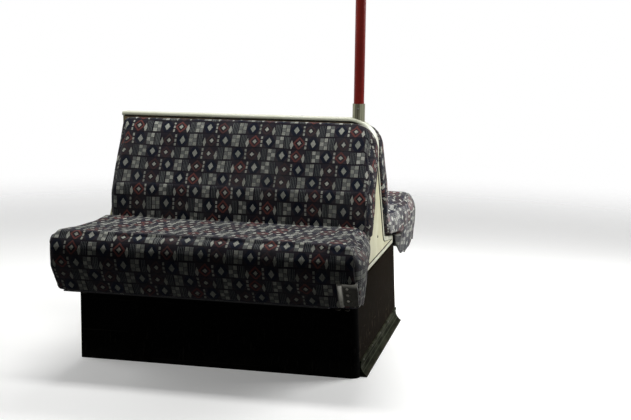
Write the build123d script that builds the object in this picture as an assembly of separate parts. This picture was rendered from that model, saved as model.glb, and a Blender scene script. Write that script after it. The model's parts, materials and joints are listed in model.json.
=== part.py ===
from build123d import *
import math
import os

# Back-to-back double seat unit of a metro car, with its grab pole. Millimetres.
# X runs from the car's side wall to the aisle, Y along the car, Z up.
# The origin is on the floor, in the middle of the unit's box.

# Overall sizes
unit_width = 965.0  # wall face to the aisle end of the seat cushions
seat_reach = 634.0  # centre plane to the nose of each seat cushion
back_top = 785.0  # floor to the top of the capping
ceiling = 2030.0  # floor to the car's ceiling, where the pole ends
seat_overhang = 60.0  # seat cushion's end beyond the face of the aisle cheek

# Riser, the box under the seats
riser_reach = 395.0  # centre plane to the riser's front
riser_height = 290.0
riser_batter = 14.0  # the aisle side leans out by this much at the floor
riser_lead = 6.5  # top of the aisle side beyond the cheek's face
panel = 9.0
side_panel = 12.0
post_radius = 28.0
steel = 4.0
sheet = 3.0
floor_flange = 45.0
upright = 40.0
top_flange = 60.0
floor_hole = 5.5
floor_hole_inset = 25.0  # from the frame's outer edge to a bolt hole's centre
bearer_width = 50.0
bearer_places = (-270.0, 0.0, 270.0)

# Coving between the riser and the floor
cove_height = 42.0
cove_width = 21.5  # at the floor
cove_lip = 3.0
cove_hollow = 0.36  # share of the width at the curve's middle
cap_height = 8.0
cap_depth = 5.0

# Deck that the seats stand on
deck_height = 346.0

# Backrest
core_half = 18.0
board = 10.0
recline = 30.0  # lean of the back boards from upright, degrees
bend_height = 641.0  # the back boards lean from here down
knee_rise = 32.0  # deck to the knee, where a board turns upright again
corner_radius = 97.0  # top aisle corner of the capping
margin = 1.0  # how far a cutting shape runs past what it cuts
run_share = 0.99  # most of a straight run that the rounds at its ends may take
capping_half = 28.0
capping_skin = 4.0
capping_leg = 13.0
capping_step = 1.0  # the capping ends this far below the bend, on top of the cheek
capping_soft = 8.0
cushion_gap = 0.3

# Aisle cheek
cheek_thick = 40.0
shelf_slope = 7.0  # degrees
shelf_height = 347.3  # where the shelf's line meets the lean of the back
shelf_radius = 45.0
horn_radius = 12.0
rim_width = 15.0
rim_joint = 1.0
rim_soft = 5.0
panel_recess = 4.0

# Wall frame
wall_plate = 12.0
wall_hole = 5.0
wall_hole_y = 110.0
wall_hole_low = 318.0
wall_hole_high = 418.0

# Back cushions
back_wall_gap = 9.0  # wall face to the cushion's end
back_overlap_top = -1.0  # cushion's end beyond the cheek's face, at its top
back_overlap_foot = 16.0  # and at its foot
cushion_top_gap = 2.0  # below the capping's leg
back_foot_step = 2.3  # cushion's foot above the board's knee
foot_pad = 8.0  # cushion's thickness at its foot
foot_rise = 50.0
foot_radius = 2.0
lumbar_drop = 101.0  # thickest place, below the bend of the boards
lumbar_pad = 1.0  # face there, beyond the board's foot
lumbar_radius = 120.0
shoulder_drop = 58.0  # below the cushion's top
shoulder_reach = 93.0
head_reach = 52.0
head_radius = 14.0
back_corner_step = 9.0  # cushion's corner radius below the capping's
back_wall_corner = 32.0
back_end_radius = 38.0  # upright edges of the cushion's ends
back_end_proud = 1.0  # those edges start to round this far in front of the face

# Seat cushions
seat_gap = 6.0  # clear of the back cushion's face
seat_top_rear = 442.0
seat_top_front = 456.0
seat_bottom = 262.0
seat_wall_gap = 2.0
seat_rear_radius = 25.0
seat_rear_cut = 26.0  # slant under the rear edge, out and up
seat_rear_rise = 32.0
nose_radius = 66.0
nose_drop = 88.0  # the front starts to slope in this far below the top
nose_tuck = 66.0  # how far the front slopes in
nose_lower_radius = 60.0
nose_foot_radius = 20.0
pan = 4.0
pan_clear = 6.0  # seat pan's drop clear of the riser's front
pan_end_gap = 4.0  # pan's end clear of the wall frame
pan_cheek_gap = 6.0
pan_flange_step = 16.0  # pan's bottom flange stops this far behind the cushion's foot
seat_rear_taper = 42.0  # cushion's aisle end drawn in, at its rear
taper_end = 500.0  # the taper starts this far from the centre plane
end_tuck = 7.0  # and at its foot
end_radius = 66.0  # along the top of the aisle end
end_foot_radius = 10.0
relief_depth = 75.0  # hollow under the aisle end, round the horn of the cheek
relief_overlap = 18.0
seat_corner = 48.0

# Catch plate on each seat's front aisle corner
catch_width = 52.0
catch_height = 88.0
catch_skin = 2.0
catch_roll = 9.0
catch_hole = 2.6
catch_holes = 3
catch_hole_pitch = 24.0
catch_rise = 18.0  # plate's foot above the cushion's
catch_inset = 35.0  # plate's middle from the cushion's end

# Grab pole
pole_radius = 17.5
pole_wall = 2.5
pole_inset = 68.0  # from the cheek's face to the pole's axis
socket_radius = 21.0
socket_height = 47.0
socket_seat = 6.0  # capping to the foot of the pole, inside the socket
fit = 0.3
ceiling_disc = 45.0
ceiling_disc_thick = 8.0
ceiling_collar = 32.0
ceiling_pcd = 66.0
ceiling_holes = 3
ceiling_hole = 3.3

# Places that follow from the sizes
half = unit_width / 2
cheek_face = half - seat_overhang
cheek_back = cheek_face - cheek_thick
wall_inner = -half + wall_plate
side_top = cheek_face + riser_lead
side_foot = side_top + riser_batter
lean = math.tan(math.radians(recline))
face_inner = core_half + board  # face of a back board above the bend
pole_x = cheek_face - pole_inset
core_top = back_top - capping_skin
capping_foot = bend_height - capping_step
board_knee = deck_height + knee_rise
board_foot = face_inner + (bend_height - board_knee) * lean
capping_corner = min(corner_radius, back_top - capping_foot - capping_leg)
back_cushion_top = back_top - capping_leg - cushion_top_gap
back_cushion_foot = board_knee + back_foot_step
back_corner = capping_corner - back_corner_step
seat_rear = board_foot + foot_pad + seat_gap
seat_drop = riser_reach + pan_clear + pan
seat_base = deck_height + pan

os.makedirs("parts", exist_ok=True)


def save(node, solid):
    export_step(solid, f"parts/{node}.step")


def block(x, y, z):
    """A box from three (low, high) pairs."""
    size = [high - low for low, high in (x, y, z)]
    middle = [(low + high) / 2 for low, high in (x, y, z)]
    return Pos(*middle) * Box(*size)


def along_x(points, x_low, x_high, radii=None):
    """Extrudes a (Y, Z) outline from x_low to x_high."""
    face = Plane.YZ * outline(points, radii)
    return Pos(x_low, 0, 0) * extrude(face, amount=x_high - x_low, dir=(1, 0, 0))


def along_y(points, y_low, y_high, radii=None):
    """Extrudes an (X, Z) outline from y_low to y_high."""
    face = Plane.XZ * outline(points, radii)
    return Pos(0, y_low, 0) * extrude(face, amount=y_high - y_low, dir=(0, 1, 0))


def along_z(points, z_low, z_high, radii=None):
    """Extrudes an (X, Y) outline from z_low to z_high."""
    face = outline(points, radii)
    return Pos(0, 0, z_low) * extrude(face, amount=z_high - z_low, dir=(0, 0, 1))


def outline(points, radii=None):
    """A flat face with straight runs between points, its corners rounded by radii."""
    if not radii:
        return make_face(Polyline(*points, close=True))
    ends, edges = [], []
    for (back, here, ahead, turn), radius in zip(corners(points), fitted(points, radii)):
        reach = radius * math.tan(turn / 2)
        start, end = here + back * reach, here + ahead * reach
        if radius:
            middle = here + (back + ahead).normalized() * radius * (1 / math.cos(turn / 2) - 1)
            edges.append(ThreePointArc(start, middle, end))
        ends.append((start, end))
    for (_, leave), (arrive, _) in zip(ends, ends[1:] + ends[:1]):
        edges.append(Line(leave, arrive))
    return make_face(edges)


def corners(points):
    """For each corner: the ways back and ahead along its runs, its place and how far it turns."""
    places = [Vector(*p) for p in points]
    found = []
    for before, here, after in zip(places[-1:] + places[:-1], places, places[1:] + places[:1]):
        turn = math.radians((here - before).get_angle(after - here))
        found.append(((before - here).normalized(), here, (after - here).normalized(), turn))
    return found


def fitted(points, radii):
    """Radii drawn in where the rounds at both ends of a short run would meet."""
    count = len(points)
    reaches = [r * math.tan(corner[3] / 2) for r, corner in zip(radii, corners(points))]
    shares = []
    for i in range(count):
        run = math.dist(points[i], points[(i + 1) % count])
        needed = reaches[i] + reaches[(i + 1) % count]
        shares.append(min(1.0, run_share * run / needed) if needed else 1.0)
    return [radius * min(shares[i - 1], shares[i]) for i, radius in enumerate(radii)]


def rear(solid):
    """The same piece on the other side of the centre plane."""
    return mirror(solid, about=Plane.XZ)


def lean_y(z, start=face_inner):
    """Distance of a back board's face from the centre plane, below the bend."""
    return start + (bend_height - z) * lean


def side_x(z):
    """Face of the riser's aisle side at a height."""
    return side_foot - riser_batter * z / riser_height


# Riser


def base_frame():
    """Floor angle all round inside the riser, with its bolt holes."""
    y = riser_reach - panel
    x_low, x_high = -half + side_panel, side_x(upright) - side_panel
    outer = block((x_low, x_high), (-y, y), (0, upright))
    inner = block((x_low + steel, x_high - steel), (steel - y, y - steel), (steel, upright))
    opening = block(
        (x_low + floor_flange, x_high - floor_flange),
        (floor_flange - y, y - floor_flange),
        (0, steel),
    )
    frame = (outer & post_bay(0, upright)) - inner - opening
    for x in (x_low + floor_hole_inset, x_high - floor_hole_inset):
        for y_hole in (floor_hole_inset - y, y - floor_hole_inset):
            frame -= Pos(x, y_hole, steel / 2) * Cylinder(floor_hole, 2 * steel)
    return frame


def top_frame():
    """Angle round the riser's top, which carries the deck and the cheeks."""
    y = riser_reach - panel
    x_low, x_high = -half + side_panel, side_top - side_panel
    z_low = riser_height - upright
    outer = block((x_low, x_high), (-y, y), (z_low, riser_height))
    inner = block(
        (x_low + steel, x_high - steel), (steel - y, y - steel), (z_low, riser_height - steel)
    )
    opening = block(
        (x_low + top_flange, x_high - top_flange),
        (top_flange - y, y - top_flange),
        (z_low, riser_height),
    )
    return (outer & post_bay(z_low, riser_height)) - inner - opening


def post_bay(z_low, z_high):
    """Plan of the space inside the riser, its aisle corners round like the posts."""
    y = riser_reach - panel
    x_high = side_x(z_high) - side_panel
    points = [(-half, -y), (x_high, -y), (x_high, y), (-half, y)]
    corner = post_radius - panel + side_panel
    return along_z(points, z_low, z_high, [0, corner, corner, 0])


def riser_front_panel():
    """Front panel, its aisle end cut to the lean of the corner post."""
    x_low = -half
    points = [
        (x_low, 0),
        (side_foot - post_radius, 0),
        (side_top - post_radius, riser_height),
        (x_low, riser_height),
    ]
    return along_y(points, -riser_reach, -riser_reach + panel)


def corner_post():
    """Quarter-round post between the front panel and the aisle side, leaning with it."""
    sections = []
    for z, x in ((0, side_foot), (riser_height, side_top)):
        centre_x, centre_y = x - post_radius, -riser_reach + post_radius
        thick = panel
        outer_start = (centre_x, -riser_reach)
        outer_end = (x, centre_y)
        inner_start = (x - thick, centre_y)
        inner_end = (centre_x, -riser_reach + thick)
        diagonal = math.sqrt(0.5)
        outer_middle = (centre_x + post_radius * diagonal, centre_y - post_radius * diagonal)
        inner_radius = post_radius - thick
        inner_middle = (centre_x + inner_radius * diagonal, centre_y - inner_radius * diagonal)
        edges = [
            ThreePointArc(outer_start, outer_middle, outer_end),
            Line(outer_end, inner_start),
            ThreePointArc(inner_start, inner_middle, inner_end),
            Line(inner_end, outer_start),
        ]
        sections.append(Pos(0, 0, z) * make_face(edges))
    return loft(sections, ruled=True)


def riser_side_panel():
    """Aisle side, leaning out towards the floor."""
    points = [
        (side_foot - side_panel, 0),
        (side_foot, 0),
        (side_top, riser_height),
        (side_top - side_panel, riser_height),
    ]
    reach = riser_reach - post_radius
    return along_y(points, -reach, reach)


def riser_wall_panel():
    """Side panel at the wall, between the front and rear panels."""
    reach = riser_reach - panel
    return block((-half, -half + side_panel), (-reach, reach), (0, riser_height))


def floor_cove():
    """Hollow-curved coving along the foot of the aisle side."""
    reach = riser_reach
    foot, top = side_x(0), side_x(cove_height)
    toe = foot + cove_width
    middle = (foot + cove_width * cove_hollow, cove_lip + (cove_height - cove_lip) * cove_hollow)
    edges = [
        Line((foot, 0), (toe, 0)),
        Line((toe, 0), (toe, cove_lip)),
        ThreePointArc((toe, cove_lip), middle, (top + cove_lip, cove_height)),
        Line((top + cove_lip, cove_height), (top, cove_height)),
        Line((top, cove_height), (foot, 0)),
    ]
    face = Plane.XZ * make_face(edges)
    return Pos(0, -reach + post_radius, 0) * extrude(
        face, amount=2 * (reach - post_radius), dir=(0, 1, 0)
    )


def cove_cap():
    """Narrow strip that closes the coving's top edge against the side."""
    low, high = cove_height, cove_height + cap_height
    points = [
        (side_x(low), low),
        (side_x(low) + cap_depth, low),
        (side_x(high) + cap_depth, high),
        (side_x(high), high),
    ]
    reach = riser_reach - post_radius
    return along_y(points, -reach, reach)


def deck_tray():
    """Shallow upturned tray between the wall frame and the cheek."""
    y = riser_reach - panel + sheet
    outer = block((wall_inner, cheek_back), (-y, y), (riser_height, deck_height))
    inner = block(
        (wall_inner, cheek_back - sheet),
        (sheet - y, y - sheet),
        (riser_height, deck_height - sheet),
    )
    return outer - inner


def deck_bearer(y):
    """Folded channel that carries the deck from the wall side to the aisle side."""
    low, high = riser_height, deck_height - sheet
    x = (wall_inner, cheek_back - sheet)
    outer = block(x, (y - bearer_width / 2, y + bearer_width / 2), (low, high))
    inner = block(
        x,
        (y - bearer_width / 2 + steel, y + bearer_width / 2 - steel),
        (low, high - steel),
    )
    return outer - inner


# Backrest


def back_outline(grow=0.0):
    """Outline of the backrest in X and Z: square at the wall, round at the aisle."""
    x_high = cheek_face - grow
    z_high = back_top - grow
    radius = capping_corner - grow
    diagonal = radius * math.sqrt(0.5)
    centre = (x_high - radius, z_high - radius)
    return [
        Line((-half, capping_foot), (-half, z_high)),
        Line((-half, z_high), (centre[0], z_high)),
        ThreePointArc(
            (centre[0], z_high),
            (centre[0] + diagonal, centre[1] + diagonal),
            (x_high, centre[1]),
        ),
        Line((x_high, centre[1]), (x_high, capping_foot)),
        Line((x_high, capping_foot), (-half, capping_foot)),
    ]


def back_slab(reach, grow=0.0):
    """The backrest's outline as a slab that reaches to both sides of the centre plane."""
    face = Plane.XZ * make_face(back_outline(grow))
    return Pos(0, -reach, 0) * extrude(face, amount=2 * reach, dir=(0, 1, 0))


def capping():
    """Moulded cap over the backrest's top and its aisle edge."""
    whole = back_slab(capping_half)
    edges = [
        e
        for e in whole.edges()
        if abs(abs(e.center().Y) - capping_half) < 0.01
        and abs((e @ 0).Y - (e @ 1).Y) < 0.01
        and e.center().X > -half + margin
        and e.center().Z > capping_foot + margin
    ]
    whole = fillet(edges, capping_soft)
    hollow = back_slab(core_half + cushion_gap, capping_skin)
    inside = back_slab(capping_half + margin, capping_leg)
    return whole - hollow - inside


def back_profile(points, grow):
    """Extrudes a (Y, Z) outline over the backrest's length, cut to its outline."""
    solid = along_x(points, wall_inner, cheek_face)
    upper = back_slab(seat_reach, grow)
    lower = block(
        (wall_inner, cheek_back), (-seat_reach, seat_reach), (deck_height, capping_foot)
    )
    return solid & (upper + lower)


def back_core():
    """Upright panel in the middle of the backrest."""
    points = [
        (-core_half, deck_height),
        (core_half, deck_height),
        (core_half, core_top),
        (-core_half, core_top),
    ]
    return back_profile(points, capping_skin)


def back_board():
    """Bent board that carries the front back cushion."""
    board_top = back_top - capping_leg
    inner_bend = bend_height - board * math.tan(math.radians(recline / 2))
    inner_foot = board_foot - board
    inner_knee = inner_bend - (inner_foot - core_half) / lean
    points = [
        (-core_half, board_top),
        (-face_inner, board_top),
        (-face_inner, bend_height),
        (-board_foot, board_knee),
        (-board_foot, deck_height),
        (-inner_foot, deck_height),
        (-inner_foot, inner_knee),
        (-core_half, inner_bend),
    ]
    return back_profile(points, capping_leg)


# Aisle cheek


def cheek_points():
    """Half outline of the cheek, from its top to the horn's foot, with its radii."""
    slope = math.tan(math.radians(shelf_slope))
    shelf_y = lean_y(shelf_height)
    horn_z = shelf_height - (riser_reach - shelf_y) * slope
    return [
        ((lean_y(capping_foot), capping_foot), 0),
        ((shelf_y, shelf_height), shelf_radius),
        ((riser_reach, horn_z), horn_radius),
        ((riser_reach, riser_height), horn_radius / 2),
    ]


def cheek_blank(x_low, x_high):
    """The whole cheek, a bell shape with a horn at each foot."""
    right = cheek_points()
    left = [((-y, z), radius) for (y, z), radius in reversed(right)]
    points = [p for p, radius in right + left]
    radii = [radius for p, radius in right + left]
    return along_x(points, x_low, x_high, radii)


def cheek_face_outline(inset):
    """The cheek's outline drawn in by an inset, as a face in the cheek's own plane."""
    blank = cheek_blank(0, cheek_thick)
    face = blank.faces().sort_by(Axis.X)[-1]
    return offset(face, amount=-inset, kind=Kind.INTERSECTION)


def cheek_inner(inset):
    """The cheek's inner part, as a slab through its thickness and past both sides."""
    face = cheek_face_outline(inset)
    slab = extrude(face, amount=cheek_thick * 2, dir=(-1, 0, 0))
    return Pos(cheek_face, 0, 0) * slab


def aisle_cheek_rim():
    """Moulded edging all round the cheek, with soft outer edges."""
    blank = cheek_blank(cheek_back, cheek_face)
    outer_face = blank.faces().sort_by(Axis.X)[-1]
    blank = fillet(outer_face.outer_wire().edges(), rim_soft)
    return blank - cheek_inner(rim_width)


def aisle_cheek_panel():
    """Flat infill of the cheek, set back a little behind its edging."""
    inner = cheek_inner(rim_width + rim_joint)
    span = block(
        (cheek_back, cheek_face - panel_recess),
        (-riser_reach, riser_reach),
        (riser_height, capping_foot),
    )
    return inner & span


def wall_frame():
    """Plate that closes the unit at the wall and bolts to it."""
    lower = cheek_blank(-half, wall_inner)
    upper = block((-half, wall_inner), (-core_half, core_half), (capping_foot, core_top))
    plate = lower + upper
    for y in (-wall_hole_y, wall_hole_y):
        for z in (wall_hole_low, wall_hole_high):
            hole = Pos(-half + wall_plate / 2, y, z) * Rot(0, 90, 0)
            plate -= hole * Cylinder(wall_hole, 2 * wall_plate)
    return plate


# Cushions


def back_cushion():
    """Front back cushion: thick at the small of the back, thin at its foot."""
    face = face_inner + cushion_gap
    foot_face = board_foot + foot_pad
    points = [
        (-face, back_cushion_top),
        (-face, bend_height),
        (-lean_y(back_cushion_foot, face), back_cushion_foot),
        (-foot_face + foot_radius, back_cushion_foot),
        (-foot_face, back_cushion_foot + foot_rise),
        (-board_foot - lumbar_pad, bend_height - lumbar_drop),
        (-shoulder_reach, back_cushion_top - shoulder_drop),
        (-head_reach, back_cushion_top),
    ]
    radii = [0, 0, 0, foot_radius, 0, lumbar_radius, 0, head_radius]
    solid = along_x(points, -half + back_wall_gap, cheek_face + back_overlap_foot, radii)
    solid &= back_cushion_front()
    foot, lumbar, shoulder = points[4:7]
    for low, high in ((foot, (foot[0], back_top)), (lumbar, shoulder)):
        solid &= back_cushion_ends(low, high)
    return solid


def back_cushion_front():
    """Outline of a back cushion seen from the front, as a slab."""
    x_low = -half + back_wall_gap
    points = [
        (x_low, back_cushion_foot),
        (cheek_face + back_overlap_foot, back_cushion_foot),
        (cheek_face + back_overlap_top, back_cushion_top),
        (x_low, back_cushion_top),
    ]
    radii = [back_wall_corner / 2, back_wall_corner / 2, back_corner, back_wall_corner]
    return along_y(points, -seat_reach, 0, radii)


def back_cushion_ends(low, high):
    """Space behind a (Y, Z) line of a back cushion's face, with round upright edges."""
    x_low, x_high = -half + back_wall_gap, cheek_face + back_overlap_foot
    slope = (high[0] - low[0]) / (high[1] - low[1])
    height = back_cushion_top - back_cushion_foot
    end_slope = (back_overlap_top - back_overlap_foot) / height
    front = low[0] - back_end_proud + slope * (back_cushion_foot - low[1])
    points = [(x_low, 0), (x_high, 0), (x_high, front), (x_low, front)]
    wall_end = sweep_up(points, [0, 0, 0, back_end_radius], Vector(0, slope, 1), height)
    aisle_end = sweep_up(points, [0, 0, back_end_radius, 0], Vector(end_slope, slope, 1), height)
    return Pos(0, 0, back_cushion_foot) * (wall_end & aisle_end)


def sweep_up(points, radii, direction, height):
    """Sweeps an (X, Y) outline, its corners rounded by radii, up along a slanted direction."""
    return extrude(outline(points, radii), amount=height * direction.length, dir=direction)


def seat_section(grow):
    """Points and radii of the seat cushion's section in Y and Z, grown outwards."""
    nose = -seat_reach - grow
    points = [
        (-seat_rear, seat_base + seat_rear_rise),
        (-seat_rear, seat_top_rear + grow),
        (nose, seat_top_front + grow),
        (nose, seat_top_front - nose_drop),
        (nose + nose_tuck, seat_bottom - grow),
        (-seat_drop, seat_bottom - grow),
        (-seat_drop, seat_base),
        (-seat_rear - seat_rear_cut, seat_base),
    ]
    radii = [0, seat_rear_radius, nose_radius, nose_lower_radius, nose_foot_radius, 0, 0, 0]
    return points, radii


def seat_plan(grow):
    """Points and radii of the seat cushion seen from above: its aisle end flares to the front."""
    x_low, x_high = -half + seat_wall_gap, half + grow
    nose = -seat_reach - grow
    points = [
        (x_low, -seat_rear),
        (x_high - seat_rear_taper, -seat_rear),
        (x_high, -taper_end),
        (x_high, nose),
        (x_low, nose),
    ]
    radii = [0, seat_rear_radius, 0, seat_corner, seat_corner / 2]
    return points, radii


def seat_ends(grow):
    """Points and radii of the seat cushion seen from the front: its aisle end is crowned."""
    x_low, x_high = -half + seat_wall_gap, half + grow
    points = [
        (x_low, seat_bottom - grow),
        (x_high - end_tuck, seat_bottom - grow),
        (x_high, seat_top_front - nose_drop),
        (x_high, seat_top_front + grow),
        (x_low, seat_top_front + grow),
    ]
    radii = [0, end_foot_radius, 0, end_radius, nose_foot_radius]
    return points, radii


def seat_end_form(grow):
    """The seat cushion's outline from the front, swept back along its top and along its taper."""
    face = Plane.XZ * outline(*seat_ends(grow))
    taper = seat_rear_taper / (taper_end - seat_rear)
    straight = sweep_back(face, 0.0, grow)
    tapered = sweep_back(face, taper, grow)
    wall_end = block((-half, 0), (-seat_reach - grow, 0), (0, back_top))
    return straight & (tapered + wall_end)


def sweep_back(face, taper, grow):
    """Sweeps a face from the nose to the centre plane, falling with the seat's top."""
    fall = (seat_top_front - seat_top_rear) / (seat_reach - seat_rear)
    sweep = Vector(-taper, 1, -fall)
    reach = seat_reach + grow
    start_x = taper * (reach - taper_end)
    return Pos(start_x, -reach, 0) * extrude(face, amount=reach * sweep.length, dir=sweep)


def horn_relief():
    """Slanted hollow under the seat's aisle end, which leaves a flap beside the cheek's horn."""
    inner = cheek_face - relief_overlap
    points = [(inner, seat_bottom - pan), (inner, seat_base), (half - end_tuck, seat_bottom - pan)]
    return along_y(points, -seat_drop - relief_depth, 0)


def seat_form(grow=0.0):
    """Front seat cushion's solid, grown outwards for the plate that wraps it."""
    points, radii = seat_section(grow)
    solid = along_x(points, -half + seat_wall_gap, half + grow, radii)
    points, radii = seat_plan(grow)
    solid &= along_z(points, 0, back_top, radii)
    return (solid & seat_end_form(grow)) - horn_relief()


def seat_pan():
    """Folded pan under the front seat cushion: deck plate, drop and bottom flange."""
    drop = seat_drop - pan
    x = (wall_inner + pan_end_gap, cheek_back - pan_cheek_gap)
    deck = block(x, (-seat_drop, -seat_rear - seat_rear_cut), (deck_height, seat_base))
    fall = block(x, (-seat_drop, -drop), (seat_bottom - pan, seat_base))
    foot = -seat_reach + nose_tuck + pan_flange_step
    flange = block(x, (foot, -drop), (seat_bottom - pan, seat_bottom))
    return deck + fall + flange


def catch_frame():
    """Plane on the sloping front of the seat, where the catch plate sits."""
    nose = (-seat_reach, seat_top_front - nose_drop)
    foot = (-seat_reach + nose_tuck, seat_bottom)
    length = math.dist(nose, foot)
    down = ((foot[0] - nose[0]) / length, (foot[1] - nose[1]) / length)
    middle_along = length - catch_rise - catch_height / 2
    y = nose[0] + down[0] * middle_along
    z = nose[1] + down[1] * middle_along
    return Plane(
        origin=(half - catch_inset, y, z),
        x_dir=(1, 0, 0),
        z_dir=(0, down[1], -down[0]),
    )


def catch_plate():
    """Steel plate wrapped round the seat's lower aisle corner, with a rolled edge."""
    place = catch_frame()
    skin = seat_form(fit + catch_skin) - seat_form(fit)
    window = place * Box(catch_width, catch_height, 2 * seat_corner)
    plate = skin & window
    for i in range(catch_holes):
        step = (i - (catch_holes - 1) / 2) * catch_hole_pitch
        plate -= place * Pos(0, step, 0) * Cylinder(catch_hole, seat_corner)
    roll = place * Pos(-catch_width / 2, 0, fit) * Rot(90, 0, 0)
    bar = roll * Cylinder(catch_roll, catch_height)
    return plate + (bar - seat_form(fit))


# Grab pole


def pole_socket():
    """Steel cup that stands on the capping and holds the pole's foot."""
    foot = back_top - capping_corner / 2
    cup = Pos(pole_x, 0, (foot + back_top + socket_height) / 2) * Cylinder(
        socket_radius, back_top + socket_height - foot
    )
    cup -= back_slab(capping_half)
    seat = back_top + socket_seat
    bore = Pos(pole_x, 0, seat + socket_height / 2) * Cylinder(
        pole_radius + fit, socket_height
    )
    return cup - bore


def pole_tube():
    """Upright tube from the socket to the ceiling flange."""
    low, high = back_top + socket_seat, ceiling - ceiling_disc_thick
    middle = Pos(pole_x, 0, (low + high) / 2)
    return middle * (
        Cylinder(pole_radius, high - low) - Cylinder(pole_radius - pole_wall, high - low)
    )


def ceiling_flange():
    """Disc and collar that hold the pole's head to the ceiling."""
    disc_z = ceiling - ceiling_disc_thick / 2
    collar_z = ceiling - ceiling_disc_thick - ceiling_collar / 2
    collar_radius = socket_radius + 1
    flange = Pos(pole_x, 0, disc_z) * Cylinder(ceiling_disc, ceiling_disc_thick)
    collar = Pos(pole_x, 0, collar_z) * (
        Cylinder(collar_radius, ceiling_collar) - Cylinder(pole_radius + fit, ceiling_collar)
    )
    flange = flange + collar
    for i in range(ceiling_holes):
        angle = math.radians(90 + 360 * i / ceiling_holes)
        x = pole_x + ceiling_pcd / 2 * math.cos(angle)
        y = ceiling_pcd / 2 * math.sin(angle)
        flange -= Pos(x, y, disc_z) * Cylinder(ceiling_hole, 2 * ceiling_disc_thick)
    return flange


def both(name, build):
    """Saves a piece and its mirror image as the front and the rear node."""
    solid = build()
    save(f"front_{name}", solid)
    save(f"rear_{name}", rear(solid))


save("base_frame", base_frame())
save("top_frame", top_frame())
both("riser_panel", riser_front_panel)
both("corner_post", corner_post)
save("riser_side_panel", riser_side_panel())
save("riser_wall_panel", riser_wall_panel())
save("floor_cove", floor_cove())
save("cove_cap", cove_cap())
save("deck_tray", deck_tray())
save("deck_bearers", Compound(children=[deck_bearer(y) for y in bearer_places]))
save("back_core", back_core())
both("back_board", back_board)
save("capping", capping())
save("aisle_cheek_rim", aisle_cheek_rim())
save("aisle_cheek_panel", aisle_cheek_panel())
save("wall_frame", wall_frame())
both("back_cushion", back_cushion)
both("seat_cushion", seat_form)
both("seat_pan", seat_pan)
both("catch_plate", catch_plate)
save("pole_socket", pole_socket())
save("pole_tube", pole_tube())
save("ceiling_flange", ceiling_flange())
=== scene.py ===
import json
import math

import bmesh
import bpy
import numpy as np
from mathutils import Matrix, Vector, noise
from mathutils.bvhtree import BVHTree


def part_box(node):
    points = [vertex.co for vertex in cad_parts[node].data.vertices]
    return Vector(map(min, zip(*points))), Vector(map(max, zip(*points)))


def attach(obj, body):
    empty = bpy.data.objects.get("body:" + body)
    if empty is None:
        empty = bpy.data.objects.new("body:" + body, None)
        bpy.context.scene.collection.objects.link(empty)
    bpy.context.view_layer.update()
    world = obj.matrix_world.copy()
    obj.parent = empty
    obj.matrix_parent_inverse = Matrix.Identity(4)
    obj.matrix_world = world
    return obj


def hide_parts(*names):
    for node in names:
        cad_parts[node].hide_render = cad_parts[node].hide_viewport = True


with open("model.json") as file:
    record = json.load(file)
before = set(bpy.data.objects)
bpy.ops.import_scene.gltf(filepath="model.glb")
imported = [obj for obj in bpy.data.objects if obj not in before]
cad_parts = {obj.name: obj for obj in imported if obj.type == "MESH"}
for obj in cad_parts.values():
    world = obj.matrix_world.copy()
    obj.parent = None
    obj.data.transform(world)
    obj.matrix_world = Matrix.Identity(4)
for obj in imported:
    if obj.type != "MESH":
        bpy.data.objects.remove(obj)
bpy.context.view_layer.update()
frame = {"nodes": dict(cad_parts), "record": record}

# Camera: the photograph's viewpoint, in the unit's own frame
CAMERA_PLACE = (1.0195, -3.648, 1.040)
CAMERA_HEADING = 12.5058  # degrees, from +Y towards -X
CAMERA_PITCH = -8.7655  # degrees, so it looks down a little
CAMERA_ROLL = 0.8103  # degrees
LENS_MM = 62.76
SENSOR_MM = 36.0

# Upholstery: how the pads are blown up
VOXEL = 0.009
PAD_SHRINK = 0.001
PAD_PRESSURE = 4.0
PAD_FRAMES = 20
PAD_CAP = 0.006  # how far the free cloth may rise
TOP_CAP = 0.0012  # how far it may rise beside a capping or on a pan
HIDDEN_CAP = 0.0005  # how far it may rise against the backrest
PAD_GIVE = 0.0006  # how far it may sink

# Upholstery: creases, the hanging flap and the sewn edges
RIPPLE = 0.0014
CREASE_SCALE = (5.0, 16.0, 16.0)  # noise waves in a metre, along X, Y and Z
FOLD_SCALE = (34.0, 5.0)  # across and down the hanging end
FOLD_SHARE = 1.4  # height of the folds, as a share of the creases'
FOLD_GAIN, FOLD_ONSET = 1.4, 0.3  # how fast and how late they grow as the cloth turns to the aisle
SHOULDER_TIGHT = 6  # power that keeps the filled shoulder close to its edge
FLAP = (0.405, 0.462, 0.345)  # inner X, reach from the centre plane and top of the seat's flap
FLAP_COARSE = 5  # rounds of smoothing before the flap is blown up
FLAP_PASSES = 26  # rounds of smoothing once it hangs
SMOOTHING = 0.5  # how far a round moves a point towards the middle of its neighbours
SEAM_WIDTH = 0.005
SEAM_DEPTH = 0.0026
SEAM_STEPS = 90
CORD = 0.0017
CORD_RISE = 0.2  # how far its middle stands out of the cloth, as a share of its radius
FACE_RAY, END_RAY, NEAR_RAY = 0.6, 0.8, 0.2  # how far off a ray starts that looks for a surface

# Upholstery: the pattern, and how it turns over a pad's ends
SLICE = 0.02  # half as thick as the slice that gives a pad's section
SECTION_STEPS = 180  # round that section
ROW = 0.047
REPEAT = 0.152
YARN = 0.0013
ROW_SHIFT = 0.37  # from each row to the next, as a share of a repeat
CHEQUER = ((0.155, 0.235), (0.245, 0.325))  # columns of the chequered block, as shares of a repeat
END_LEAN = 0.72  # a face belongs to an end where its normal's X is over this
END_TOP = 0.45  # how much a level face counts towards a standing pad's end
END_START = 0.31
FLAP_START = 0.48
HANGING_RUB, LEVEL_RUB = 1.0, 0.15  # how rubbed the cloth is on such an end

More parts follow.
